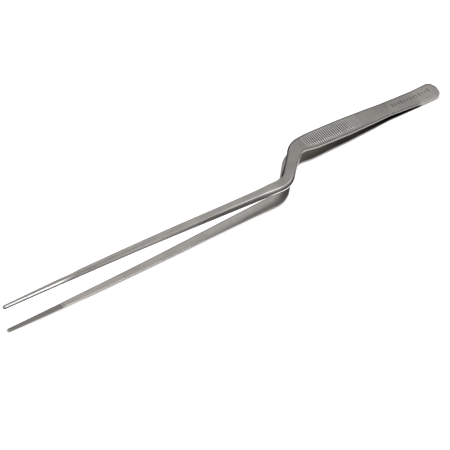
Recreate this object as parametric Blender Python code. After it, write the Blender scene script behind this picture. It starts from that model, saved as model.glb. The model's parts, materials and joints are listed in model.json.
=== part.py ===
"""Bayonet aquascaping tweezers: two sprung steel arms, welded at the heel, lying on the lower arm."""

import math

import bmesh
import bpy

MM = 0.001

# Arm outline, seen from above, in millimetres. x runs from the heel to the tips, and y towards the side that
# the tips are offset to, from the middle line of the grip.
LENGTH = 267.5
TIP_OFFSET = 19.2
BEND_ANGLE = 45.0
RIB_TO_BEND = 0.3  # plain face between the last rib groove and the start of the upper arm's bend
BEND_LAG = 3.0  # the lower arm's bend sits this much nearer to its tip
GRIP_BEND_RADIUS = 11.5
TIP_BEND_RADIUS = 11.0
HEEL_WIDTH = 9.8
HEEL_FLARE = 1.1  # extra width of the welded heel, all on the side that the tips are offset to
HEEL_ROUND = 3.0  # length of the half-oval that ends the heel
FLARE_RUN = 12.0  # length over which the flare dies out, a third of it behind the weld's front end
THUMB_WIDTH = 10.1
GRIP_WIDTH = 11.6
GRIP_WIDTH_RUN = 8.6  # how far into the ribs the grip reaches its full width
GRIP_END_WIDTH = 11.2
LIMB_TOP_WIDTH = 7.2
LIMB_WIDTH = 6.3
BLADE_WIDTH = 7.2
BLADE_TAPER = ((0.24, 0.81), (0.5, 0.61), (0.75, 0.47))  # share of the blade's run, share of its width
POINT_WIDTH = 2.0
POINT_ROUND = 1.4  # length over which the tip narrows to its blunt end

# Thickness, and how the sheet is bevelled along its outer edges.
SHEET = 1.4
BLADE_SHEET = 2.0
POINT_SHEET = 1.4
EDGE_BREAK = 0.4
EDGE_SHARE = 0.6  # the most of half the width that a broken edge takes, near the tip
INNER_BREAK = 0.1
INNER_SHARE = 0.2
BLADE_FLAT = 3.7  # width of the outer flat between the two heavy bevels, where the blade starts
MIDDLE_FLAT = 2.2
POINT_FLAT = 0.8
BLADE_LAND = 0.3  # height of the square edge left under each heavy bevel

# Opening of the arms.
CLEARANCE = 0.3  # between pieces that touch
FLEX_X = 13.0  # where the weld ends and the arms begin to bend
SPLAY = 0.0858  # slope of one arm against the other
CURL_START = 167.0
CURL_RISE = 2.57  # how far each point curls in from its arm's straight line

# Grip: a shallow thumb flat, then cross grooves that leave ribs between them.
THUMB_START = 32.0
THUMB_STEP = 0.5
THUMB_DEPTH = 0.12
RIB_START = 51.8
RIB_COUNT = 28
RIB_PITCH = 1.19
RIB_DEPTH = 0.3
RIB_CREST = 0.24  # share of the pitch that a rib's crest takes
RIB_FOOT = 0.64
RIB_DROP = 0.02  # how far the crests lie below the plain face
RIB_FAR_MARGIN = 0.9
RIB_NEAR_MARGIN = 1.5
RIB_LEAST_SHARE = 0.33  # the least of half the outer face that the ribs' margins leave
GROOVE_RAMP = 0.3

# Jaw: fine cross teeth on the inner face, ending just short of the tip.
JAW_LENGTH = 30.0
JAW_STEP = 0.2  # depth of the first valley, at the jaw's rear end
JAW_STEP_RUN = 0.3
TOOTH_COUNT = 33
TOOTH_DEPTH = 0.15

# The fused zone between the two heels.
WELD_LENGTH = 8.0
WELD_WIDTH = 5.0
WELD_THICKNESS = 0.9

# How finely the bends, the heel's oval and the tip are stepped.
BEND_STEPS = 8
OVAL_STEPS = (16, 26, 38, 54, 72)  # degrees round the heel's oval
BLADE_STEPS = 11
TIP_STEPS = ((0.5, 0.9), (0.85, 0.7), (1.0, 0.45))  # share of the round's run, share of the tip's width

STEEL = {"color": (0.52, 0.50, 0.47, 1.0), "roughness": 0.34}
WELD_STEEL = {"color": (0.42, 0.40, 0.38, 1.0), "roughness": 0.5}


def clear_scene():
    for obj in list(bpy.data.objects):
        bpy.data.objects.remove(obj, do_unlink=True)
    for coll in list(bpy.data.collections):
        bpy.data.collections.remove(coll)


def new_collection(name, hidden=False):
    coll = bpy.data.collections.new(name)
    coll.hide_render = hidden
    bpy.context.scene.collection.children.link(coll)
    return coll


def new_material(name, look):
    mat = bpy.data.materials.new(name)
    mat.use_nodes = True
    shader = mat.node_tree.nodes["Principled BSDF"]
    shader.inputs["Base Color"].default_value = look["color"]
    shader.inputs["Metallic"].default_value = 1.0
    shader.inputs["Roughness"].default_value = look["roughness"]
    mat.diffuse_color = look["color"]
    return mat


def value_at(table, x):
    """Value at x of a line through the (x, value) pairs of table."""
    if x <= table[0][0]:
        return table[0][1]
    for (x0, v0), (x1, v1) in zip(table, table[1:]):
        if x <= x1:
            return v0 + (v1 - v0) * (x - x0) / (x1 - x0)
    return table[-1][1]


# The heights of the two arms' faces, at a distance x from the heel. The lower arm lies flat up to where
# its point curls in, and the upper arm rises from the weld.
def lift(x):
    if x > CURL_START:
        return CURL_RISE * ((x - CURL_START) / (LENGTH - CURL_START)) ** 2
    return 0.0


def opening(x):
    return CLEARANCE + SPLAY * max(0.0, x - FLEX_X) - 2 * lift(x)


def bend_run():
    """How far along x the limb between the two bends goes, from corner to corner."""
    return TIP_OFFSET / math.tan(math.radians(BEND_ANGLE))


def bend_tangent(radius):
    """Distance from a bend's corner to where its arc starts."""
    return radius * math.tan(math.radians(BEND_ANGLE) / 2)


def grip_bend_x():
    """Where the upper arm's middle line turns off: its bend starts just past the ribs."""
    return RIB_START + RIB_COUNT * RIB_PITCH + RIB_TO_BEND + bend_tangent(GRIP_BEND_RADIUS)


def flare_ends():
    """Where the heel's flare starts to die out, and where it is gone."""
    return FLEX_X - FLARE_RUN / 3, FLEX_X + FLARE_RUN * 2 / 3


def arm_tables(bend_x):
    """Width, thickness and bevel along x, for an arm whose grip-side corner is at bend_x."""
    mid_limb = bend_x + bend_run() / 2
    grip_end = bend_x - 2 * bend_tangent(GRIP_BEND_RADIUS)
    limb_top = (bend_x + mid_limb) / 2
    blade_x = bend_x + bend_run() + bend_tangent(TIP_BEND_RADIUS)
    span = LENGTH - blade_x
    flare_start, flare_end = flare_ends()
    width = [
        (flare_start, HEEL_WIDTH + HEEL_FLARE),
        (flare_end, HEEL_WIDTH),
        (THUMB_START, THUMB_WIDTH),
        (RIB_START + GRIP_WIDTH_RUN, GRIP_WIDTH),
        (grip_end, GRIP_END_WIDTH),
        (limb_top, LIMB_TOP_WIDTH),
        (mid_limb, LIMB_WIDTH),
        (blade_x, BLADE_WIDTH),
    ]
    width += [(blade_x + part * span, BLADE_WIDTH * share) for part, share in BLADE_TAPER]
    width.append((LENGTH - POINT_ROUND, POINT_WIDTH))
    return {
        "width": width,
        "sheet": [(grip_end, SHEET), (blade_x, BLADE_SHEET), (LENGTH, POINT_SHEET)],
        "flat": [(blade_x, BLADE_FLAT), (blade_x + span / 2, MIDDLE_FLAT), (LENGTH, POINT_FLAT)],
        "bevel": [(mid_limb, 0.0), (blade_x, 1.0)],  # 0 is the plain edge, 1 the heavy bevel
        "side": [(flare_start, HEEL_FLARE / 2), (flare_end, 0.0)],
    }


def station(table, x, y=None, turn=0.0, width=None, groove=0.0, tooth=0.0):
    """One place along the strip, with all that its cross-section needs."""
    return {
        "x": x,
        "y": value_at(table["side"], x) if y is None else y,
        "turn": turn,
        "width": value_at(table["width"], x) if width is None else width,
        "sheet": value_at(table["sheet"], x),
        "flat": value_at(table["flat"], x),
        "bevel": value_at(table["bevel"], x),
        "groove": groove,
        "tooth": tooth,
    }


def heel_stations(table):
    found = []
    for degrees in OVAL_STEPS:
        turned = math.radians(degrees)
        x = HEEL_ROUND * (1 - math.cos(turned))
        found.append(station(table, x, width=(HEEL_WIDTH + HEEL_FLARE) * math.sin(turned)))
    flare_start, flare_end = flare_ends()
    for x in (HEEL_ROUND, flare_start, FLEX_X - CLEARANCE / 2, FLEX_X + CLEARANCE / 2, flare_end):
        found.append(station(table, x))
    return found


def grip_stations(table):
    thumb_end = RIB_START - RIB_PITCH
    found = [
        station(table, THUMB_START),
        station(table, THUMB_START + THUMB_STEP, groove=THUMB_DEPTH),
        station(table, thumb_end, groove=THUMB_DEPTH),
    ]
    for i in range(RIB_COUNT):
        middle = RIB_START + i * RIB_PITCH
        for share, depth in (
            (-RIB_FOOT / 2, RIB_DEPTH),
            (-RIB_CREST / 2, RIB_DROP),
            (RIB_CREST / 2, RIB_DROP),
            (RIB_FOOT / 2, RIB_DEPTH),
        ):
            found.append(station(table, middle + share * RIB_PITCH, groove=depth))
    found.append(station(table, RIB_START + RIB_COUNT * RIB_PITCH))
    return found


def bend_stations(table, corner_x, corner_y, radius, into):
    """Stations round one corner of the middle line; into is 1 where it turns off, -1 where it turns back."""
    angle = math.radians(BEND_ANGLE)
    centre_x = corner_x - into * bend_tangent(radius)
    centre_y = corner_y + into * radius
    found = []
    for i in range(BEND_STEPS + 1):
        done = i / BEND_STEPS
        turn = angle * (done if into > 0 else 1 - done)
        x = centre_x + into * radius * math.sin(turn)
        y = centre_y - into * radius * math.cos(turn)
        found.append(station(table, x, y, turn))
    return found


def blade_stations(table, start):
    """The straight blade from start to the jaw, the jaw's teeth and the blunt tip."""
    jaw_x = LENGTH - JAW_LENGTH
    tooth_x = jaw_x + JAW_STEP_RUN
    round_x = LENGTH - POINT_ROUND
    pitch = (round_x - tooth_x) / (TOOTH_COUNT + 0.5)
    found = []
    for i in range(1, BLADE_STEPS + 1):
        found.append(station(table, start + (jaw_x - start) * i / BLADE_STEPS, TIP_OFFSET))
    found.append(station(table, tooth_x, TIP_OFFSET, tooth=JAW_STEP))
    for i in range(1, TOOTH_COUNT + 1):
        found.append(station(table, tooth_x + (i - 0.5) * pitch, TIP_OFFSET))
        found.append(station(table, tooth_x + i * pitch, TIP_OFFSET, tooth=TOOTH_DEPTH))
    found.append(station(table, round_x, TIP_OFFSET))
    for part, share in TIP_STEPS:
        x = round_x + part * POINT_ROUND
        found.append(station(table, x, TIP_OFFSET, width=share * POINT_WIDTH))
    return found


def arm_stations(bend_x):
    table = arm_tables(bend_x)
    found = heel_stations(table) + grip_stations(table)
    found += bend_stations(table, bend_x, 0.0, GRIP_BEND_RADIUS, 1)
    found += bend_stations(table, bend_x + bend_run(), TIP_OFFSET, TIP_BEND_RADIUS, -1)
    return found + blade_stations(table, found[-1]["x"])


def section(st):
    """Cross-section of the strip as (across, height) pairs; height runs from the inner face to the outer."""
    half = st["width"] / 2
    thick = st["sheet"]
    heavy = st["bevel"]
    edge = min(EDGE_BREAK, EDGE_SHARE * half)
    inner = min(INNER_BREAK, INNER_SHARE * half)
    plain_out = half - edge
    out = plain_out * (1 - heavy) + min(st["flat"] / 2, plain_out) * heavy
    land = (thick - EDGE_BREAK) * (1 - heavy) + BLADE_LAND * heavy
    near = max(out - RIB_NEAR_MARGIN, out * RIB_LEAST_SHARE)
    far = max(out - RIB_FAR_MARGIN, out * RIB_LEAST_SHARE)
    ramp = min(GROOVE_RAMP, near * RIB_LEAST_SHARE)
    floor = thick - st["groove"]
    tooth = st["tooth"]
    return [
        (-half + inner, tooth),
        (half - inner, tooth),
        (half, inner + tooth),
        (half, land),
        (out, thick),
        (near, thick),
        (near - ramp, floor),
        (ramp - far, floor),
        (-far, thick),
        (-out, thick),
        (-half, land),
        (-half, inner + tooth),
    ]


def ring_points(st, upper):
    """Place of each section point of one station of one arm."""
    points = []
    for side, height in section(st):
        x = st["x"] - math.sin(st["turn"]) * side
        y = st["y"] + math.cos(st["turn"]) * side
        inner_face = lift(x) + st["sheet"]
        z = inner_face + opening(x) + height if upper else inner_face - height
        points.append((x, y, z))
    return points


def add_object(name, bm, origin, shift, coll, material=None):
    """Turns bm into an object whose origin stands at origin, with the whole model moved by shift."""
    bmesh.ops.recalc_face_normals(bm, faces=bm.faces)
    mesh = bpy.data.meshes.new(name)
    bm.to_mesh(mesh)
    bm.free()
    if material:
        mesh.materials.append(material)
    obj = bpy.data.objects.new(name, mesh)
    obj.location = [(a + b) * MM for a, b in zip(origin, shift)]
    coll.objects.link(obj)
    return obj


def loft(name, stations, upper, origin, shift, coll, material):
    """One closed body through the stations."""
    bm = bmesh.new()
    rings = []
    for st in stations:
        points = ring_points(st, upper)
        rings.append([bm.verts.new([(a - b) * MM for a, b in zip(p, origin)]) for p in points])
    for one, two in zip(rings, rings[1:]):
        for i, vert in enumerate(one):
            j = (i + 1) % len(one)
            bm.faces.new((vert, one[j], two[j], two[i]))
    bm.faces.new(rings[0])
    bm.faces.new(rings[-1])
    return add_object(name, bm, origin, shift, coll, material)


def stadium(name, grow, place, shift, coll, material=None):
    """The weld's shape, a flat bar with half-round ends, larger all round by grow."""
    radius = WELD_WIDTH / 2 + grow
    reach = (WELD_LENGTH - WELD_WIDTH) / 2
    thick = WELD_THICKNESS + 2 * grow
    bm = bmesh.new()
    made = bmesh.ops.create_circle(bm, cap_ends=True, segments=24, radius=radius * MM)
    for vert in made["verts"]:
        vert.co.x += math.copysign(reach * MM, vert.co.x)
        vert.co.z -= thick / 2 * MM
    grown = bmesh.ops.extrude_face_region(bm, geom=list(bm.faces))
    top = [v for v in grown["geom"] if isinstance(v, bmesh.types.BMVert)]
    bmesh.ops.translate(bm, verts=top, vec=(0, 0, thick * MM))
    return add_object(name, bm, place, shift, coll, material)


def side_reach(arms):
    """Lowest and highest y of the arms' outlines."""
    ys = [y for stations in arms for st in stations for _, y, _ in ring_points(st, False)]
    return min(ys), max(ys)


def build():
    clear_scene()
    coll = new_collection("aquascaping_tweezers")
    cutters = new_collection("cutters", hidden=True)
    steel = new_material("arm_steel", STEEL)
    weld_steel = new_material("weld_steel", WELD_STEEL)
    upper = arm_stations(grip_bend_x())
    lower = arm_stations(grip_bend_x() + BEND_LAG)
    low, high = side_reach([upper, lower])
    shift = (-(lower[0]["x"] + LENGTH) / 2, -(low + high) / 2, 0.0)

    place = (FLEX_X / 2, HEEL_FLARE / 2, SHEET + CLEARANCE / 2)
    stadium("heel_weld", 0.0, place, shift, coll, weld_steel)
    pocket = stadium("weld_pocket", CLEARANCE, place, shift, cutters)
    pocket.display_type = "WIRE"
    pocket.hide_render = True

    joint_heights = {"upper": 1.5 * SHEET + CLEARANCE, "lower": 0.5 * SHEET}
    for side, stations in (("upper", upper), ("lower", lower)):
        is_upper = side == "upper"
        heel = [st for st in stations if st["x"] < FLEX_X]
        rest = [st for st in stations if st["x"] > FLEX_X]
        joint = (FLEX_X, 0.0, joint_heights[side])
        stub = loft(side + "_arm_heel", heel, is_upper, (0.0, 0.0, 0.0), shift, coll, steel)
        cut = stub.modifiers.new("weld_pocket", "BOOLEAN")
        cut.operation = "DIFFERENCE"
        cut.solver = "EXACT"
        cut.object = pocket
        loft(side + "_arm", rest, is_upper, joint, shift, coll, steel)


build()
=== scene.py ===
# Bayonet tweezers for planting tanks: two sprung steel arms, fused at the heel, lying on the lower arm.
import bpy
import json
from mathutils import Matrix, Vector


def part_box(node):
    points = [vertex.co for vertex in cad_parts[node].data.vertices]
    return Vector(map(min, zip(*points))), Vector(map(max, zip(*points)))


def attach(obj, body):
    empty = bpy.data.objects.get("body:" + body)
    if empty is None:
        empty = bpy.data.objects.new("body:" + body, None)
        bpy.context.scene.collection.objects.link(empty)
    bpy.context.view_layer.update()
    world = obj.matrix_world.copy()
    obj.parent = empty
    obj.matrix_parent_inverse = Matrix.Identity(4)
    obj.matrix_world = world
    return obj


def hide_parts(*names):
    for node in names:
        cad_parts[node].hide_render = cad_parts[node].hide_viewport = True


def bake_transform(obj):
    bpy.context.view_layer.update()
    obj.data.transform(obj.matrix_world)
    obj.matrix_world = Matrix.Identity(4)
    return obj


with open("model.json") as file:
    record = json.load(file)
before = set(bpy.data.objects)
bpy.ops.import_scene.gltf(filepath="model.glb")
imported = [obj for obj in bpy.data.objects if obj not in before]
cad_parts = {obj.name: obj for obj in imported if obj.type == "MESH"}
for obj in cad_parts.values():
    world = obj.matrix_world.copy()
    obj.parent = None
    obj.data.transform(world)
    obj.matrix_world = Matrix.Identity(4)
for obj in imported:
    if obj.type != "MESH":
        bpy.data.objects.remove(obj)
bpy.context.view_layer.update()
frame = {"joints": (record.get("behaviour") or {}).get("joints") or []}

import json
import math
import bmesh
import bpy
from mathutils import Vector

mm = 0.001

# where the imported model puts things, in millimetres from the heel's end
hingeFromHeel = 13.0  # the weld ends here, and the arms begin to bend
hinge = {joint["child"]: joint["pos_m"] for joint in frame["joints"]}["upper_arm"]
heelX = hinge[0] / mm - hingeFromHeel
middleY = hinge[1] / mm
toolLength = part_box("upper_arm")[1].x / mm - heelX
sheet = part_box("lower_arm_heel")[1].z / mm
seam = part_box("upper_arm_heel")[0].z / mm - sheet  # what the weld fills


def place(x, y, z):
    return Vector(((x + heelX) * mm, (y + middleY) * mm, z * mm))


def eased(value):
    value = min(1.0, max(0.0, value))
    return value * value * (3 - 2 * value)


def mixed(low, high, share):
    return low + (high - low) * share


def valueAt(stops, x):  # straight line through (x, value) stops
    if x <= stops[0][0]:
        return stops[0][1]
    for (x0, v0), (x1, v1) in zip(stops, stops[1:]):
        if x <= x1:
            return mixed(v0, v1, (x - x0) / (x1 - x0))
    return stops[-1][1]


def finished(name, bm, material, crease):
    bmesh.ops.recalc_face_normals(bm, faces=bm.faces)
    mesh = bpy.data.meshes.new(name)
    bm.to_mesh(mesh)
    bm.free()
    mesh.materials.append(material)
    mesh.shade_smooth()
    mesh.set_sharp_from_angle(angle=math.radians(crease))
    piece = bpy.data.objects.new(name, mesh)
    bpy.context.scene.collection.objects.link(piece)
    return piece


# shader maths written as expressions on sockets
class Sock:
    def __init__(self, tree, socket):
        self.tree = tree
        self.socket = socket

    def maths(self, operation, *values):
        made = self.tree.nodes.new("ShaderNodeMath")
        made.operation = operation
        for slot, value in zip(made.inputs, values):
            if isinstance(value, Sock):
                self.tree.links.new(value.socket, slot)
            else:
                slot.default_value = value
        return Sock(self.tree, made.outputs[0])

    def __add__(self, other):
        return self.maths("ADD", self, other)

    def __radd__(self, other):
        return self.maths("ADD", other, self)

    def __sub__(self, other):
        return self.maths("SUBTRACT", self, other)

    def __rsub__(self, other):
        return self.maths("SUBTRACT", other, self)

    def __mul__(self, other):
        return self.maths("MULTIPLY", self, other)

    def __rmul__(self, other):
        return self.maths("MULTIPLY", other, self)

    def __truediv__(self, other):
        return self.maths("DIVIDE", self, other)

    def floor(self):
        return self.maths("FLOOR", self)

    def size(self):
        return self.maths("ABSOLUTE", self)

    def least(self, other):
        return self.maths("MINIMUM", self, other)

    def most(self, other):
        return self.maths("MAXIMUM", self, other)


class Nodes:  # short ways to add nodes to a tree
    def __init__(self, tree):
        self.tree = tree

    def add(self, kind, settings, inputs, output=0):
        made = self.tree.nodes.new(kind)
        for key, value in settings.items():
            setattr(made, key, value)
        for key, value in inputs.items():
            if isinstance(value, Sock):
                self.tree.links.new(value.socket, made.inputs[key])
            else:
                made.inputs[key].default_value = value
        return Sock(self.tree, made.outputs[output])

    def window(self, value, low, high):  # 0 below low, 1 above high, eased between
        settings = {"interpolation_type": "SMOOTHSTEP", "clamp": True}
        return self.add("ShaderNodeMapRange", settings, {"Value": value, "From Min": low, "From Max": high})

    def split(self, vector):
        made = self.tree.nodes.new("ShaderNodeSeparateXYZ")
        self.tree.links.new(vector.socket, made.inputs[0])
        return [Sock(self.tree, output) for output in made.outputs]

    def colour(self, share, first, second):
        inputs = {"Factor": share, 6: first, 7: second}
        return self.add("ShaderNodeMix", {"data_type": "RGBA"}, inputs, 2)


class Finish(Nodes):  # a material with its shader
    def __init__(self, name):
        self.material = bpy.data.materials.new(name)
        self.material.use_nodes = True
        super().__init__(self.material.node_tree)
        self.shader = self.tree.nodes["Principled BSDF"]

    def coordinates(self, scale, turn=(0, 0, 0)):
        spot = self.add("ShaderNodeTexCoord", {}, {}, "Object")
        return self.add("ShaderNodeMapping", {}, {"Vector": spot, "Scale": scale, "Rotation": turn})

    def noise(self, scale, detail=2.0, rough=0.5, turn=(0, 0, 0)):
        spot = self.coordinates(scale, turn)
        inputs = {"Vector": spot, "Scale": 1.0, "Detail": detail, "Roughness": rough}
        return self.add("ShaderNodeTexNoise", {}, inputs)

    def own(self, name):
        return self.add("ShaderNodeAttribute", {"attribute_name": name}, {}, "Fac")

    def feed(self, **inputs):
        for key, value in inputs.items():
            slot = self.shader.inputs[key.replace("_", " ")]
            if isinstance(value, Sock):
                self.tree.links.new(value.socket, slot)
            else:
                slot.default_value = value


steel = {
    "deep": (0.262, 0.25, 0.236),
    "light": (0.38, 0.362, 0.342),
    "edge": (0.44, 0.43, 0.416),
    "mark": (0.07, 0.066, 0.062),
    # the painted shade colour and the painted highlight colour
    "shade": (0.03, 0.029, 0.028),
    "paintedHighlight": (0.94, 0.935, 0.925),
    "rough": 0.33,
    "edgeRough": 0.24,
    "jawRough": 0.52,
    "grain": 0.05,  # how much the cross grain changes the roughness
    "grainBump": 0.10,
    "bumpRise": 0.00004,  # in metres
    "crossGrain": (9, 0.35, 0.35),  # how fine each pattern is, per millimetre
    "fineGrain": (26, 1.2, 1.2),
    "cloud": (0.11, 0.16, 0.16),
    "pits": (3.2, 3.2, 3.2),
    "scratch": (1.6, 22, 22),
    "scratchTurn": 0.35,
}

marks = {  # lengths in millimetres, "short" and "long" are half the strokes' heights
    "from": 3.9,
    "pitch": 1.95,
    "count": 13,
    "stroke": 0.8,
    "short": 0.8,
    "long": 1.3,
    "every": 3,
    "offset": -0.2,
}


def rgba(colour):
    return (*colour, 1.0)


def perMm(scale):
    return [value * (1 / mm) for value in scale]


def makeArmSteel():
    finish = Finish("satin_arm_steel")
    crossGrain = finish.noise(perMm(steel["crossGrain"]), 3.0, 0.6)
    fineGrain = finish.noise(perMm(steel["fineGrain"]), 2.0, 0.6)
    cloud = finish.noise(perMm(steel["cloud"]), 3.0, 0.55)
    pits = finish.noise(perMm(steel["pits"]), 4.0, 0.65)
    ground = finish.own("ground")
    edge = finish.own("edge")
    jaw = finish.own("jaw")
    outer = finish.own("outer")
    # painted shade and painted highlight shares, laid on the arms' points
    paintedShade = finish.own("paintedShade")
    paintedHighlight = finish.own("paintedHighlight")
    scratchField = finish.noise(perMm(steel["scratch"]), 2.0, 0.5, (0, 0, steel["scratchTurn"]))
    scratch = finish.window(scratchField, 0.66, 0.74) * finish.window(cloud, 0.45, 0.62)

    streak = (crossGrain - 0.5) * mixedShare(ground, 0.35, 1.0) + (fineGrain - 0.5) * 0.5
    tone = 0.5 + streak * 1.1 + (cloud - 0.5) * 1.3 + (pits - 0.5) * 0.25 - jaw * 0.28 - scratch * 0.2
    body = finish.colour(tone.most(0.0).least(1.0), rgba(steel["deep"]), rgba(steel["light"]))
    polished = finish.colour((edge * 0.35).least(1.0), body, rgba(steel["edge"]))
    stroke = markMask(finish) * outer
    etched = finish.colour(stroke * 0.8, polished, rgba(steel["mark"]))
    # painted shade: mixes towards the shade colour by the painted shade share, and darkens the serrated
    # jaw, more in its pits
    shade = (paintedShade + jaw * (0.26 + (pits - 0.5) * 1.3)).most(0.0).least(1.0)
    shaded = finish.colour(shade, etched, rgba(steel["shade"]))
    # painted highlight, near white
    colour = finish.colour(paintedHighlight, shaded, rgba(steel["paintedHighlight"]))

    rough = steel["rough"] + streak * steel["grain"] * 2 + (cloud - 0.5) * 0.08 + scratch * 0.08
    rough = rough + edge * (steel["edgeRough"] - steel["rough"])
    rough = rough + jaw * (steel["jawRough"] - steel["rough"])
    rough = (rough + stroke * 0.22).most(0.12).least(0.8)
    height = streak * 0.6 + (pits - 0.5) * (0.25 + jaw * 1.2) - scratch * 0.5 - stroke * 0.8
    inputs = {"Height": height, "Strength": steel["grainBump"], "Distance": steel["bumpRise"]}
    bump = finish.add("ShaderNodeBump", {}, inputs)
    finish.feed(Base_Color=colour, Metallic=1.0, Roughness=rough, Normal=bump)
    return finish.material


def mixedShare(share, low, high):
    return share * (high - low) + low


def markMask(finish):  # a plain graduation of etched strokes on the heel
    x, y, z = finish.split(finish.coordinates(perMm((1, 1, 1))))
    x = x - (heelX + marks["from"])
    y = y - (middleY + marks["offset"])
    cell = (x / marks["pitch"]).floor()
    inCell = x / marks["pitch"] - cell
    every = marks["every"]
    isLong = 1 - finish.window(cell / every - (cell / every).floor(), 0.05, 0.1)
    reach = marks["short"] + isLong * (marks["long"] - marks["short"])
    side = marks["stroke"] / marks["pitch"] / 2
    bar = 1 - finish.window((inCell - 0.5).size(), side - 0.06, side + 0.06)
    tall = 1 - finish.window(y.size() - reach, -0.08, 0.08)
    end = marks["pitch"] * marks["count"]
    inside = finish.window(x, 0.0, 0.02) * (1 - finish.window(x, end, end + 0.02))
    return bar * tall * inside


weldFinish = {
    "ripple": (2.2, 2.2, 4.0),  # per millimetre
    "cloud": (0.4, 0.4, 0.4),
    "rough": 0.4,
    "bump": 0.2,
    "bumpRise": 0.00005,  # in metres
}


def makeWeldSteel():
    finish = Finish("fused_weld_steel")
    ripple = finish.noise(perMm(weldFinish["ripple"]), 4.0, 0.6)
    cloud = finish.noise(perMm(weldFinish["cloud"]), 2.0, 0.5)
    tone = (0.75 + (ripple - 0.5) * 0.8 + (cloud - 0.5) * 0.6).most(0.0).least(1.0)
    colour = finish.colour(tone, rgba(steel["deep"]), rgba(steel["light"]))
    rough = weldFinish["rough"] + (ripple - 0.5) * 0.2
    inputs = {"Height": ripple, "Strength": weldFinish["bump"], "Distance": weldFinish["bumpRise"]}
    bump = finish.add("ShaderNodeBump", {}, inputs)
    finish.feed(Base_Color=colour, Metallic=1.0, Roughness=rough, Normal=bump)
    return finish.material


# the strip that both arms are cut from, in millimetres
strip = {
    "bendAngle": 45.0,
    "tipOffset": 19.2,
    "gripRadius": 11.5,
    "tipRadius": 11.0,
    "heelStart": -0.7,
    "heelRound": 3.9,
    "heelPower": 2.3,  # over 2 gives the heel's end fuller corners
    "tipRound": 1.4,
    "heelWidth": 9.8,
    "heelFlare": 1.1,  # all on the side that the tips are offset to
    "flareFrom": 6.0,
    "flareTo": 34.0,
    "splay": 0.0858,
    "splayRun": 1.0,  # length over which the upper arm turns up from the weld
    "splayEase": 20.0,  # and over which it settles to its slope
    "curlFrom": 167.0,
    "curlRise": 2.57,
    "bladeSheet": 2.0,
    "tipSheet": 1.4,
    "edgeRound": 0.65,
    "bladeRound": 0.14,
    "bevelSoft": 0.07,  # how softly the blade's flat meets its bevels
    "innerRound": 0.12,
}

thumb = {"x": 31.3, "bow": 2.0, "run": 0.4, "depth": 0.12, "margin": 0.7}
ribs = {
    "x": 51.8,
    "count": 28,
    "pitch": 1.19,
    "depth": 0.3,
    "crest": 0.2,  # in shares of the pitch, as "foot"
    "foot": 0.32,
    "far": 0.9,  # bare margins along the two edges
    "near": 1.65,
    "fade": 0.5,
    "first": 0.62,  # the first groove's share of the depth, growing over "growing" grooves
    "growing": 8,
    "crestDrop": 0.2,  # how far the crests lie under the face, in shares of the thumb flat's depth
}
jaw = {"length": 30.0, "teeth": 33, "depth": 0.15, "root": 0.03, "step": 0.2, "stepRun": 0.5}
armLook = {  # "side" is 1 for the arm whose outer face is up
    "upper_arm": {"bendX": 90.2, "side": 1},
    "lower_arm": {"bendX": 93.2, "side": -1},
}

angle = math.radians(strip["bendAngle"])
bendRun = strip["tipOffset"] / math.tan(angle)
gripTangent = strip["gripRadius"] * math.tan(angle / 2)
tipTangent = strip["tipRadius"] * math.tan(angle / 2)
jawX = toolLength - jaw["length"]
heelEndX = strip["heelStart"] + strip["heelRound"]  # where the heel's round end meets its straight edges
tipEndX = toolLength - strip["tipRound"]


def curl(x):
    share = max(0.0, x - strip["curlFrom"]) / (toolLength - strip["curlFrom"])
    return strip["curlRise"] * share * share


def opening(x):  # gap between the two inner faces
    past = x - hingeFromHeel
    run = strip["splayRun"]
    if past <= 0:
        rise = 0.0
    elif past < run:
        rise = past * past / (2 * run)
    else:
        rise = past - run / 2 + run / 2 * eased((past - run) / strip["splayEase"])
    return seam + strip["splay"] * rise - 2 * curl(x)


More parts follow.
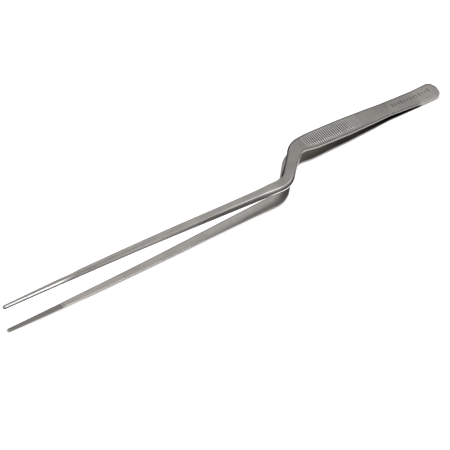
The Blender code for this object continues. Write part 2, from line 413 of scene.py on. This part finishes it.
def armTables(bendX):
    midLimb = bendX + bendRun / 2
    gripEnd = bendX - 2 * gripTangent
    bladeX = bendX + bendRun + tipTangent
    span = toolLength - bladeX
    return {
        "bladeX": bladeX,
        "width": [
            (strip["flareFrom"], strip["heelWidth"] + strip["heelFlare"]),
            (strip["flareTo"], strip["heelWidth"]),
            (44.0, 10.7),
            (60.4, 11.6),
            (gripEnd, 11.2),
            ((bendX + midLimb) / 2, 7.2),
            (midLimb, 6.3),
            (bladeX, 7.2),
            (bladeX + 0.24 * span, 5.83),
            (bladeX + 0.5 * span, 4.39),
            (bladeX + 0.75 * span, 3.38),
            (tipEndX, 2.0),
        ],
        "sheet": [(gripEnd, sheet), (bladeX, strip["bladeSheet"]), (toolLength, strip["tipSheet"])],
        "flat": [
            (bladeX - 14, 3.9),
            (bladeX, 4.4),
            (bladeX + 12, 3.7),
            (bladeX + 0.35 * span, 3.7),
            (bladeX + 0.5 * span, 3.3),
            (jawX - 12, 2.7),
            (jawX - 3, 1.5),
            (toolLength, 0.8),
        ],
        "land": [
            (bladeX - 8, 1.0),
            (bladeX + 4, 0.95),
            (bladeX + 14, 0.4),
            (bladeX + span / 2, 0.35),
            (jawX - 8, 0.6),
            (jawX, 0.9),
            (toolLength, 0.95),
        ],
        "heavy": [(midLimb + 1, 0.0), (bladeX - 6, 1.0)],
        "round": [
            (gripEnd, strip["edgeRound"]),
            (midLimb - 3, strip["edgeRound"] * 0.7),
            (bladeX - 9, strip["bladeRound"]),
        ],
        "relief": [(13.2, 0.0), (15.5, 0.42), (36.0, 0.36), (60.0, 0.0)],
        "side": [(strip["flareFrom"], strip["heelFlare"] / 2), (strip["flareTo"], 0.0)],
        "far": [(gripEnd, ribs["far"]), (midLimb, 1.0)],
        "near": [(gripEnd, ribs["near"]), (midLimb, 1.0)],
        # shares of painted shade (the Dark tables) and painted highlight (sideBright, flatEdge) along the
        # strip
        "innerDark": [
            (13.0, 0.95),
            (30.0, 0.9),
            (48.0, 0.2),
            (60.0, 0.05),
            (bladeX - 12, 0.12),
            (bladeX, 0.0),
        ],
        "lowerSideDark": [(13.0, 0.0), (30.0, 0.2), (bladeX, 0.2), (bladeX + 20, 0.45)],
        "sideDark": [
            (13.0, 0.0),
            (30.0, 0.3),
            (60.0, 0.45),
            (84.0, 0.1),
            (bladeX - 6, 0.0),
            (bladeX + 5, 0.0),
            (bladeX + 11, 0.8),
            (toolLength, 0.9),
        ],
        "sideBright": [
            (bladeX - 10, 0.0),
            (bladeX - 7, 0.75),
            (bladeX - 2, 0.95),
            (bladeX + 5, 0.95),
            (bladeX + 10, 0.0),
        ],
        "flatEdge": [(bladeX - 9, 0.0), (bladeX - 6, 0.36), (bladeX + 22, 0.45), (bladeX + 40, 0.0)],
        "bevelDark": [
            (bladeX - 10, 0.0),
            (bladeX - 7, 0.75),
            (bladeX + 10, 0.65),
            (bladeX + 40, 0.6),
            (jawX - 4, 0.6),
            (jawX + 2, 0.1),
        ],
        "flatDark": [(bladeX + 50, 0.0), (jawX - 20, 0.3), (toolLength, 0.42)],
    }


def middleLine(bendX):  # gives (x, y, turn) at a run along the strip's middle
    cornerTwo = bendX + bendRun
    bladeX = cornerTwo + tipTangent
    limb = math.hypot(bendRun, strip["tipOffset"]) - gripTangent - tipTangent
    firstEnd = bendX - gripTangent
    arcOneEnd = firstEnd + strip["gripRadius"] * angle
    limbEnd = arcOneEnd + limb
    arcTwoEnd = limbEnd + strip["tipRadius"] * angle

    def at(run):
        if run <= firstEnd:
            return run, 0.0, 0.0
        if run <= arcOneEnd:
            turn = (run - firstEnd) / strip["gripRadius"]
            x = firstEnd + strip["gripRadius"] * math.sin(turn)
            return x, strip["gripRadius"] * (1 - math.cos(turn)), turn
        if run <= limbEnd:
            past = run - arcOneEnd
            x = firstEnd + strip["gripRadius"] * math.sin(angle) + past * math.cos(angle)
            return x, strip["gripRadius"] * (1 - math.cos(angle)) + past * math.sin(angle), angle
        if run <= arcTwoEnd:
            turn = (arcTwoEnd - run) / strip["tipRadius"]
            x = bladeX - strip["tipRadius"] * math.sin(turn)
            return x, strip["tipOffset"] - strip["tipRadius"] * (1 - math.cos(turn)), turn
        return bladeX + run - arcTwoEnd, strip["tipOffset"], 0.0

    return at, (firstEnd, arcOneEnd, limbEnd, arcTwoEnd), arcTwoEnd - bladeX


def spaced(start, end, step):
    count = max(1, round((end - start) / step))
    return [start + (end - start) * i / count for i in range(count)]


def heelRows(start):  # rows round the heel's end, closer together where it turns faster
    shares = [1 - math.cos(math.radians(turned)) for turned in range(start, 90, 6)]
    return [strip["heelStart"] + strip["heelRound"] * share for share in shares]


ribRows = (-0.42, -0.34, -0.24, -0.14, -0.05, 0.05, 0.14, 0.24, 0.34, 0.42)


def rowRuns(bendX):  # where the cross-sections are, as runs along the middle line
    at, (firstEnd, arcOneEnd, limbEnd, arcTwoEnd), extra = middleLine(bendX)
    runs = heelRows(0) + spaced(heelEndX, 12.0, 1.0)
    runs += spaced(12.0, 20.0, 0.5) + spaced(20.0, 30.6, 1.2)
    runs += spaced(30.6, 34.6, 0.16) + spaced(34.6, ribs["x"] - ribs["pitch"], 1.0)
    for i in range(-1, ribs["count"]):
        middle = ribs["x"] + i * ribs["pitch"]
        runs += [middle + share * ribs["pitch"] for share in ribRows]
    ribEnd = ribs["x"] + (ribs["count"] - 0.5) * ribs["pitch"]
    runs += spaced(ribEnd, firstEnd, 0.6) + spaced(firstEnd, arcOneEnd, 0.3)
    runs += spaced(arcOneEnd, limbEnd, 0.7)
    runs += spaced(limbEnd, arcTwoEnd, 0.3) + spaced(arcTwoEnd, jawX + extra, 1.2)
    toothStart = jawX + jaw["stepRun"]
    pitch = (tipEndX - toothStart) / jaw["teeth"]
    runs += [extra + value for value in spaced(jawX, toothStart, 0.12)]
    runs += [extra + value for value in spaced(toothStart, tipEndX, pitch / 5)]
    tip = [tipEndX + strip["tipRound"] * math.sin(math.radians(turned)) for turned in range(0, 91, 9)]
    return at, runs + [extra + value for value in tip]


def outlineHalf(tables, x):
    half = valueAt(tables["width"], x) / 2
    heelPast = heelEndX - x
    if heelPast > 0:
        power = strip["heelPower"]
        return half * max(0.0, 1 - (heelPast / strip["heelRound"]) ** power) ** (1 / power)
    past = x - tipEndX
    if past > 0:
        return half * math.sqrt(max(0.0, 1 - (past / strip["tipRound"]) ** 2))
    return half


def inset(tables, x, across):  # how far a spot lies inside the outline
    half = valueAt(tables["width"], x) / 2
    tipPast = x - toolLength + strip["tipRound"]
    ends = ((heelEndX - x, strip["heelRound"]), (tipPast, strip["tipRound"]))
    for past, reach in ends:
        if past > 0:
            q = math.hypot(past / reach, across / half)
            slope = math.hypot(past / reach**2, across / half**2) / max(q, 1e-6)
            return max(0.0, (1 - q) / max(slope, 1e-6))
    return max(0.0, half - abs(across))


def rounding(depth, radius):  # how far a rounded edge drops at a depth inside the outline
    if depth >= radius:
        return 0.0
    return radius - math.sqrt(max(0.0, radius**2 - (radius - depth) ** 2))


def softLeast(a, b, width):
    share = min(1.0, max(0.0, 0.5 + (b - a) / (2 * width)))
    return mixed(b, a, share) - width * share * (1 - share)


def outerHeight(tables, x, across, thick):
    depth = inset(tables, x, across)
    height = thick
    heavy = valueAt(tables["heavy"], x)
    if heavy > 0:
        half = valueAt(tables["width"], x) / 2
        reach = max(0.2, half - valueAt(tables["flat"], x) / 2)
        land = valueAt(tables["land"], x)
        bevel = land + (thick - land) * depth / reach
        height = mixed(thick, softLeast(thick, bevel, strip["bevelSoft"]), heavy)
    height -= rounding(depth, valueAt(tables["round"], x))
    return height - gripCut(tables, x, across)


def ribShare(half, across):  # 1 between the bare margins, 0 on them
    near = eased((half - ribs["near"] - across) / ribs["fade"])
    return near * eased((half - ribs["far"] + across) / ribs["fade"])


def gripCut(tables, x, across):  # thumb flat and rib grooves in the outer face
    if x < thumb["x"] - 1 or x > ribs["x"] + ribs["count"] * ribs["pitch"]:
        return 0.0
    half = valueAt(tables["width"], x) / 2
    stepX = thumb["x"] + thumb["bow"] * (across + half) / (2 * half)
    into = eased((x - stepX) / thumb["run"]) * eased((half - thumb["margin"] + 0.5 - abs(across)) / 0.5)
    cut = thumb["depth"] * into
    beat = (x - ribs["x"]) / ribs["pitch"]
    if beat < -0.9:
        return cut
    groove = eased((abs(beat - round(beat)) - ribs["crest"]) / (ribs["foot"] - ribs["crest"]))
    if beat < -0.5:
        groove = eased((beat + 0.9) / 0.3)
    if beat > ribs["count"] - 1 + 0.5:
        groove = eased((ribs["count"] - 0.1 - beat) / 0.3)
    fade = ribShare(half, across)
    if fade <= 0:
        return cut
    soft = mixed(ribs["first"], 1.0, eased(beat / ribs["growing"]))
    ribCut = thumb["depth"] * ribs["crestDrop"] + ribs["depth"] * groove * soft
    return mixed(thumb["depth"], ribCut, fade)


def toothHeight(x):
    toothStart = jawX + jaw["stepRun"]
    if x < jawX:
        return 0.0
    if x < toothStart:
        return jaw["step"] * eased((x - jawX) / (toothStart - jawX))
    pitch = (tipEndX - toothStart) / jaw["teeth"]
    beat = (x - toothStart) / pitch
    if beat >= jaw["teeth"]:
        return jaw["root"]
    return mixed(jaw["root"], jaw["depth"], abs(2 * (beat % 1) - 1))


roundSteps = (0.0, 0.04, 0.15, 0.4, 0.7, 1.0)
bandSteps = (0.35, 0.7, 0.9, 1.0, 1.1, 1.25)
flatCount = 8
innerCount = 9


def sectionSpots(tables, x):  # (across, kind) of each point round the section
    half = valueAt(tables["width"], x) / 2
    scale = outlineHalf(tables, x) / half
    radius = valueAt(tables["round"], x)
    heavy = valueAt(tables["heavy"], x)
    reach = half - valueAt(tables["flat"], x) / 2

    def insets(margin):
        band = mixed(margin, reach, heavy)
        band = min(band, half * 0.7)
        rounded = [radius * step for step in roundSteps]
        return rounded + [radius + (band - radius) * step for step in bandSteps]

    near = insets(valueAt(tables["near"], x))
    far = insets(valueAt(tables["far"], x))
    left = -half + far[-1]
    right = half - near[-1]
    flat = [mixed(right, left, (i + 1) / (flatCount + 1)) for i in range(flatCount)]
    outer = [half - depth for depth in near] + flat + [-half + depth for depth in reversed(far)]
    innerRadius = strip["innerRound"]
    innerSteps = [innerRadius * step for step in (0.0, 0.3, 1.0)]
    span = half - innerRadius
    inner = [-half + step for step in innerSteps]
    inner += [mixed(-span, span, (i + 1) / (innerCount + 1)) for i in range(innerCount)]
    inner += [half - step for step in reversed(innerSteps)]
    spots = [(across * scale, "outer") for across in outer]
    spots.append((-half * scale, "side"))
    spots += [(across * scale, "inner") for across in inner]
    spots.append((half * scale, "side"))
    return spots


paintedLight = {  # shares of painted shade and painted highlight, and widths in millimetres
    "jawLine": 0.5,  # painted highlight, at the jaw's step and the tips' ends
    # painted shade along the upper arm's inner near edge
    "innerRim": 0.9,
    "innerRimWidth": 0.12,
    # painted shade on the far side face and along the far edge
    "farSide": 0.3,
    "farEdge": 0.95,
    "farWidth": 1.0,
    "farBladeWidth": 0.4,
    "flatEdgeWidth": 0.28,
    # painted shade in a line near the grip's near edge
    "gripLine": 0.5,
    "stripe": 0.95,  # painted highlight, a painted reflection stripe on the near bevel from before the jaw
    "stripeBefore": 13,
    # painted shade along the blade's near rim
    "rim": 0.9,
    "rimWidth": 0.16,
    # painted shade at the thumb flat's step
    "thumbLine": 0.24,
    "thumbWidth": 0.6,
    # painted shade in the rib grooves, painted highlight on the rib crests
    "groove": 0.78,
    "crest": 0.5,
}


# painted shade on the inner faces near the bend and along the upper arm's inner near edge; painted
# highlight at the jaw's step and the tips' ends
def innerPaintedLight(tables, upper, x, across, depth):  # (painted shade, painted highlight) shares, as the next three give
    jawStep = paintedLight["jawLine"] * eased((x - jawX) / 0.15) * eased((jawX + 0.55 - x) / 0.15)
    tipEnd = paintedLight["jawLine"] * eased((x - toolLength + 0.9) / 0.5)
    paintedShade = valueAt(tables["innerDark"], x)
    if upper and across > 0:
        rim = paintedLight["innerRim"] * eased((x - tables["bladeX"] - 2) / 8)
        paintedShade = max(paintedShade, rim * eased(1.3 - depth / paintedLight["innerRimWidth"]))
    return paintedShade, max(jawStep, tipEnd)


# painted shade on the far side faces and the near side faces, painted highlight along the upper arm's near
# side by the blade's start
def sidePaintedLight(tables, upper, x, across):
    if across < 0:
        return paintedLight["farSide"], 0.0
    if not upper:
        return valueAt(tables["lowerSideDark"], x), 0.0
    return valueAt(tables["sideDark"], x), valueAt(tables["sideBright"], x)


# painted shade along the far edge, near the grip's near edge, on the near bevel, along the blade's near rim
# and on the flat towards the tip; painted highlight along the flat's near edge, and a painted reflection
# stripe on the near bevel before the jaw
def outerPaintedLight(tables, upper, x, across, depth):
    bladeX = tables["bladeX"]
    blade = eased((x - bladeX + 6) / 8)
    if across < 0:
        width = mixed(paintedLight["farWidth"], paintedLight["farBladeWidth"], blade)
        return paintedLight["farEdge"] * eased(1.3 - depth / width), 0.0
    half = valueAt(tables["width"], x) / 2
    reach = half - valueAt(tables["flat"], x) / 2
    fromFlat = abs(depth - reach)
    flatEdge = valueAt(tables["flatEdge"], x) * eased(1.4 - fromFlat / paintedLight["flatEdgeWidth"])
    bevel = valueAt(tables["bevelDark"], x) * eased(1.1 - depth / max(0.1, reach - 0.25))
    grip = (1 - blade) * eased(depth / 0.15) * eased((0.75 - depth) / 0.3)
    grip = grip * paintedLight["gripLine"] * eased((x - 14) / 4)
    stripe = eased((x - jawX + paintedLight["stripeBefore"]) / 7) * eased(1.2 - depth / reach)
    stripe = stripe * eased((depth - 0.08) / 0.14) * paintedLight["stripe"]
    rim = paintedLight["rim"] * blade * eased((x - bladeX - 4) / 8) * eased(1.2 - depth / paintedLight["rimWidth"])
    paintedShade = (grip + bevel * (1 - flatEdge)) * (1 - stripe)
    if upper:
        paintedShade = max(paintedShade, valueAt(tables["flatDark"], x) * (1 - stripe), rim)
    return paintedShade, max(flatEdge * (1 - rim), stripe)


def gripPaintedLight(tables, x, across):  # painted shade at the thumb flat's edge and in the ribs' grooves, painted highlight on the ribs' crests
    cut = gripCut(tables, x, across) / ribs["depth"]
    half = valueAt(tables["width"], x) / 2
    stepX = thumb["x"] + thumb["bow"] * (across + half) / (2 * half) + thumb["run"] / 2
    away = abs(x - stepX)
    if away < paintedLight["thumbWidth"]:
        line = paintedLight["thumbLine"] * eased(1 - away / paintedLight["thumbWidth"])
        return line * eased(half - thumb["margin"] - abs(across)), 0.0
    if x < ribs["x"] - ribs["pitch"] or x > ribs["x"] + ribs["count"] * ribs["pitch"] or cut == 0.0:
        return 0.0, 0.0
    inRow = ribShare(half, across) * mixed(0.25, 1.0, eased((x - ribs["x"]) / 10))
    groove = eased(cut * 1.5 - 0.45)
    return paintedLight["groove"] * groove * inRow, paintedLight["crest"] * (1 - groove) * inRow


layerNames = ("ground", "edge", "jaw", "outer", "paintedShade", "paintedHighlight")


def buildArm(name, look, material):
    tables = armTables(look["bendX"])
    upper = look["side"] > 0
    at, runs = rowRuns(look["bendX"])
    count = len(sectionSpots(tables, ribs["x"]))  # the same all along the arm
    bm = bmesh.new()
    bmesh.ops.create_grid(bm, x_segments=len(runs) - 1, y_segments=count, size=0.5)
    layers = {key: bm.verts.layers.float.new(key) for key in layerNames}
    rows = []
    for run in runs:
        x, y, turn = at(run)
        rows.append((x, y, turn, sectionSpots(tables, x)))
    for vert in bm.verts:
        row = round((vert.co.x + 0.5) * (len(runs) - 1))
        column = round((vert.co.y + 0.5) * count) % count
        x, y, turn, spots = rows[row]
        across, kind = spots[column]
        thick = valueAt(tables["sheet"], x)
        depth = inset(tables, x, across)
        innerRadius = strip["innerRound"] * eased((x - hingeFromHeel) / 1.5)
        top = outerHeight(tables, x, across, thick)
        bottom = toothHeight(x) + valueAt(tables["relief"], x) + rounding(depth, innerRadius)
        # painted shade and painted highlight shares for each point
        if kind == "outer":
            height = top
            paintedShade, paintedHighlight = outerPaintedLight(tables, upper, x, across, depth)
            gripPaintedShade, gripPaintedHighlight = gripPaintedLight(tables, x, across)
            paintedShade = max(paintedShade, gripPaintedShade)
            paintedHighlight = max(paintedHighlight, gripPaintedHighlight)
        elif kind == "inner":
            height = bottom
            paintedShade, paintedHighlight = innerPaintedLight(tables, upper, x, across, depth)
        else:
            height = (top + bottom) / 2
            paintedShade, paintedHighlight = sidePaintedLight(tables, upper, x, across)
        y += valueAt(tables["side"], x)
        outX = x - math.sin(turn) * across
        outY = y + math.cos(turn) * across
        inner = curl(outX) + valueAt(tables["sheet"], outX)
        z = inner + opening(outX) + height if upper else inner - height
        radius = valueAt(tables["round"], x)
        vert[layers["outer"]] = float(kind == "outer" and upper)
        vert[layers["edge"]] = eased(1.15 - depth / radius) if kind == "outer" else float(kind == "side")
        vert[layers["ground"]] = eased((x - tables["bladeX"] + 8) / 12)
        vert[layers["jaw"]] = eased((x - jawX) / 0.6) * float(kind == "inner")
        vert[layers["paintedShade"]] = paintedShade
        vert[layers["paintedHighlight"]] = paintedHighlight
        vert.co = place(outX, outY, z)
    bmesh.ops.remove_doubles(bm, verts=bm.verts, dist=0.000001)
    return finished(name, bm, material, 32)


fusion = {
    "columns": 16,
    "inset": 0.004,
    "dish": 0.8,  # how far the front face curves back at its middle
    "overlap": 0.06,  # how far it sinks into each heel
}


def placeOrder(spot):  # one number for a place, only to sort by
    return (spot.x * 1000 + spot.y) * 1000 + spot.z


def buildWeld(material):  # the fused metal between the two heels, flush with their outline
    tables = armTables(armLook["upper_arm"]["bendX"])
    xs = heelRows(4) + spaced(heelEndX, hingeFromHeel, 0.5) + [hingeFromHeel]
    bm = bmesh.new()
    bmesh.ops.create_grid(bm, x_segments=len(xs) - 1, y_segments=fusion["columns"], size=0.5)
    for vert in bm.verts:
        x = xs[round((vert.co.x + 0.5) * (len(xs) - 1))]
        share = vert.co.y * 2
        half = outlineHalf(tables, x) - fusion["inset"]
        dish = fusion["dish"] * (1 - share * share) * eased((x - 8) / 5)
        y = share * half + valueAt(tables["side"], x)
        vert.co = place(x - dish, y, sheet - fusion["overlap"])
    grown = bmesh.ops.extrude_face_region(bm, geom=list(bm.faces))
    raised = [item for item in grown["geom"] if isinstance(item, bmesh.types.BMVert)]
    bmesh.ops.translate(bm, verts=raised, vec=(0, 0, (seam + 2 * fusion["overlap"]) * mm))
    bm.verts.sort(key=lambda vert: placeOrder(vert.co))  # extruding leaves them in no fixed order
    bm.faces.sort(key=lambda face: placeOrder(face.calc_center_median()))
    return finished("heel_fusion", bm, material, 32)


armSteel = makeArmSteel()
weldSteel = makeWeldSteel()
print("finishes made")

for body, look in armLook.items():
    arm = buildArm(body + "_strip", look, armSteel)
    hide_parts(body, body + "_heel")
    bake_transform(arm)
    print(body, len(arm.data.polygons), "faces")

weld = buildWeld(weldSteel)
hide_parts("heel_weld")
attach(weld, "heel")
print("weld made")


# floor, light and camera
studio = {
    "floor": 6.0,
    "floorShade": (0.86, 0.86, 0.855),
    "floorGlow": 0.55,
    "sky": 0.56,  # overhead
    "dim": 0.14,  # low down, all round but behind the heel
    "sweep": 1.1,  # low down, behind the heel
    "seen": 1.0,  # what stands behind the floor's edge
    "lights": [
        # place, aimed at, size, strength
        ((-0.25, 0.10, 1.05), (0.0, 0.02, 0.0), (1.3, 0.5), 9.0),
    ],
    "camera": (0.29335, 0.44355, 0.61194),
    "cameraAim": (0.01107, 0.00914, 0.0),
    "lens": 129.3,
}


def makeFloor():
    finish = Finish("pale_floor")
    mottle = finish.noise((3.0, 3.0, 3.0), 2.0, 0.5)
    shade = studio["floorShade"]
    paler = [value * 1.01 for value in shade]
    finish.feed(Base_Color=finish.colour(mottle, rgba(shade), rgba(paler)), Roughness=0.9)
    finish.feed(Emission_Color=(1.0, 1.0, 1.0, 1.0), Emission_Strength=studio["floorGlow"])
    bm = bmesh.new()
    bmesh.ops.create_grid(bm, x_segments=1, y_segments=1, size=studio["floor"])
    bmesh.ops.translate(bm, verts=bm.verts, vec=(0, 0, -0.0001))
    floor = finished("floor", bm, finish.material, 30)


def makeSky():
    world = bpy.data.worlds.new("studio")
    world.use_nodes = True
    nodes = Nodes(world.node_tree)
    x, y, z = nodes.split(nodes.add("ShaderNodeTexCoord", {}, {}, "Generated"))
    high = nodes.window(z, 0.28, 0.74)
    behindHeel = nodes.window(0 - x, 0.5, 0.8)
    low = behindHeel * (studio["sweep"] - studio["dim"]) + studio["dim"]
    level = high * studio["sky"] + (1 - high) * low
    seen = nodes.add("ShaderNodeLightPath", {}, {}, "Is Camera Ray")
    level = seen * studio["seen"] + (1 - seen) * level
    background = world.node_tree.nodes["Background"]
    background.inputs["Color"].default_value = (1.0, 1.0, 1.0, 1.0)
    world.node_tree.links.new(level.socket, background.inputs["Strength"])
    bpy.context.scene.world = world


def makeLights():
    for i, (spot, aim, size, strength) in enumerate(studio["lights"]):
        light = bpy.data.lights.new("softbox_%d" % i, "AREA")
        light.shape = "RECTANGLE"
        light.size = size[0]
        light.size_y = size[1]
        light.energy = strength
        lamp = bpy.data.objects.new(light.name, light)
        lamp.location = spot
        lamp.rotation_euler = (Vector(aim) - Vector(spot)).to_track_quat("-Z", "Y").to_euler()
        bpy.context.scene.collection.objects.link(lamp)


def makeCamera():
    data = bpy.data.cameras.new("camera")
    data.lens = studio["lens"]
    data.sensor_width = 36.0
    data.clip_start = 0.01
    camera = bpy.data.objects.new("camera", data)
    camera.location = studio["camera"]
    aim = Vector(studio["cameraAim"])
    camera.rotation_euler = (aim - camera.location).to_track_quat("-Z", "Y").to_euler()
    bpy.context.scene.collection.objects.link(camera)
    bpy.context.scene.camera = camera


makeFloor()
makeSky()
makeLights()
makeCamera()
bpy.context.scene.view_settings.view_transform = "Standard"
print("stage ready")
